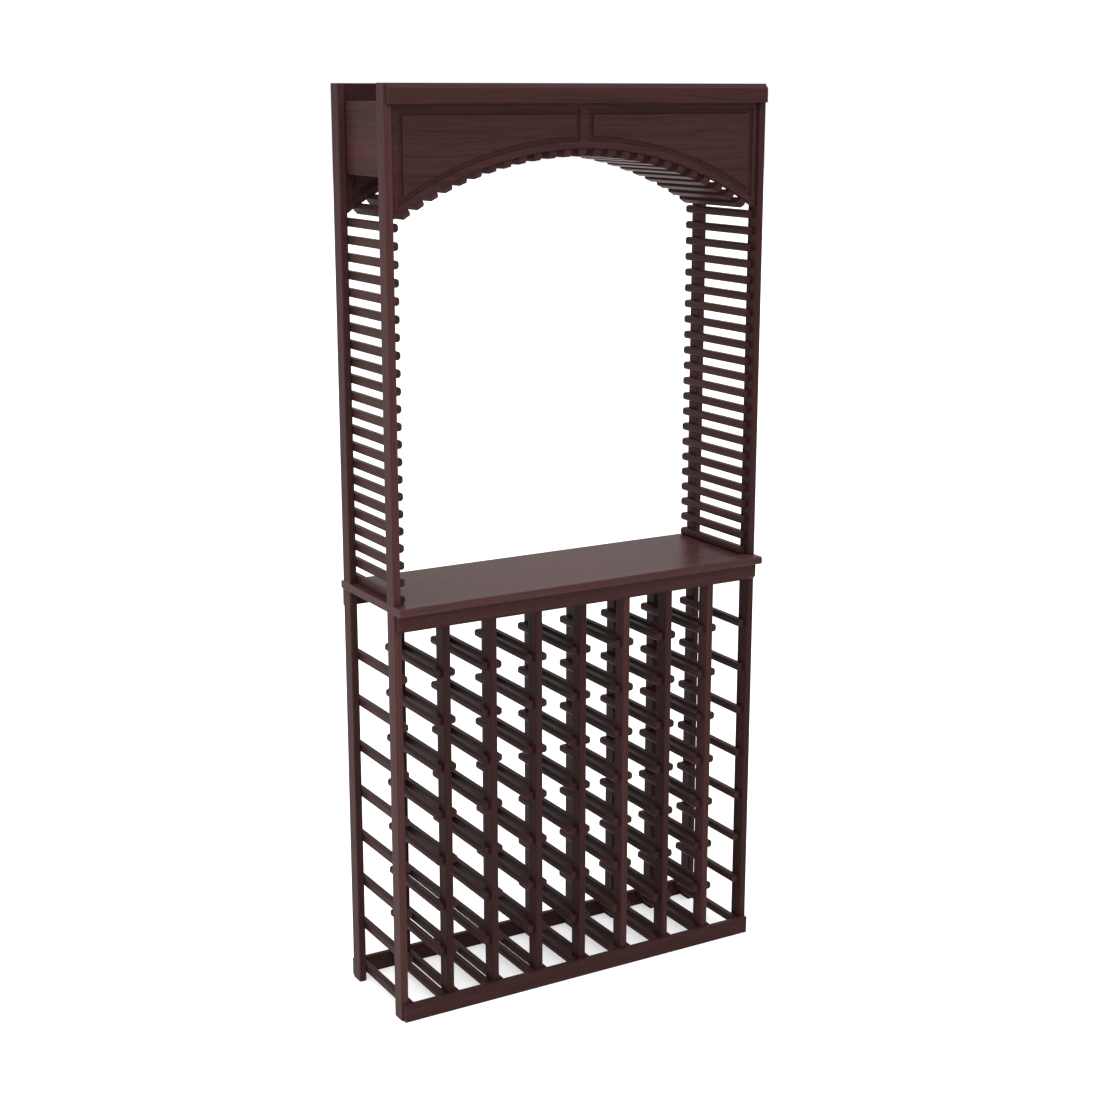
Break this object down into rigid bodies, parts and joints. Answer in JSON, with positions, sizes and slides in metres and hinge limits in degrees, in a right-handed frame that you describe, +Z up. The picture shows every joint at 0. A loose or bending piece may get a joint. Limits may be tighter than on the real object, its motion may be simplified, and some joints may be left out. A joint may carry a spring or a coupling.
{
  "type": "tasting table",
  "caption": "Tall wooden tasting table: a bottle rack of ladders and rails under a table board, with posts, lattice sides and a slatted arch between curved valances above.",
  "frame": {"origin": "bottom centre of the whole object, on the floor", "axes": "+Z up, front towards -Y, +X to the right seen from the front"},
  "size_m": [0.986, 0.316, 2.134],
  "materials": {
    "upright_wood": "satin dark stain",
    "stick_wood": "satin dark stain",
    "trim_wood": "satin dark stain",
    "panel_wood": "satin dark stain",
    "table_wood": "satin dark stain, sealed",
    "dowel_wood": "bare wood"
  },
  "bodies": {
    "root": {"ladder1_front_upright": "upright_wood", "ladder1_rear_upright": "upright_wood", "ladder1_right_rails": "stick_wood", "ladder2_front_upright": "upright_wood", "ladder2_rear_upright": "upright_wood", "ladder2_left_rails": "stick_wood", "ladder2_right_rails": "stick_wood", "ladder3_front_upright": "upright_wood", "ladder3_rear_upright": "upright_wood", "ladder3_left_rails": "stick_wood", "ladder3_right_rails": "stick_wood", "ladder4_front_upright": "upright_wood", "ladder4_rear_upright": "upright_wood", "ladder4_left_rails": "stick_wood", "ladder4_right_rails": "stick_wood", "ladder5_front_upright": "upright_wood", "ladder5_rear_upright": "upright_wood", "ladder5_left_rails": "stick_wood", "ladder5_right_rails": "stick_wood", "ladder6_front_upright": "upright_wood", "ladder6_rear_upright": "upright_wood", "ladder6_left_rails": "stick_wood", "ladder6_right_rails": "stick_wood", "ladder7_front_upright": "upright_wood", "ladder7_rear_upright": "upright_wood", "ladder7_left_rails": "stick_wood", "ladder7_right_rails": "stick_wood", "ladder8_front_upright": "upright_wood", "ladder8_rear_upright": "upright_wood", "ladder8_left_rails": "stick_wood", "ladder8_right_rails": "stick_wood", "ladder9_front_upright": "upright_wood", "ladder9_rear_upright": "upright_wood", "ladder9_left_rails": "stick_wood", "toe_board": "trim_wood", "back_toe_board": "trim_wood", "front_apron": "trim_wood", "back_apron": "trim_wood", "crown_board": "trim_wood", "table_top": "table_wood", "left_front_post": "upright_wood", "left_rear_post": "upright_wood", "right_front_post": "upright_wood", "right_rear_post": "upright_wood", "left_lattice_slats": "stick_wood", "right_lattice_slats": "stick_wood", "arch_slats": "stick_wood", "left_side_board": "panel_wood", "right_side_board": "panel_wood", "front_valance": "panel_wood", "back_valance": "panel_wood", "post_dowels": "dowel_wood"}
  },
  "joints": []
}
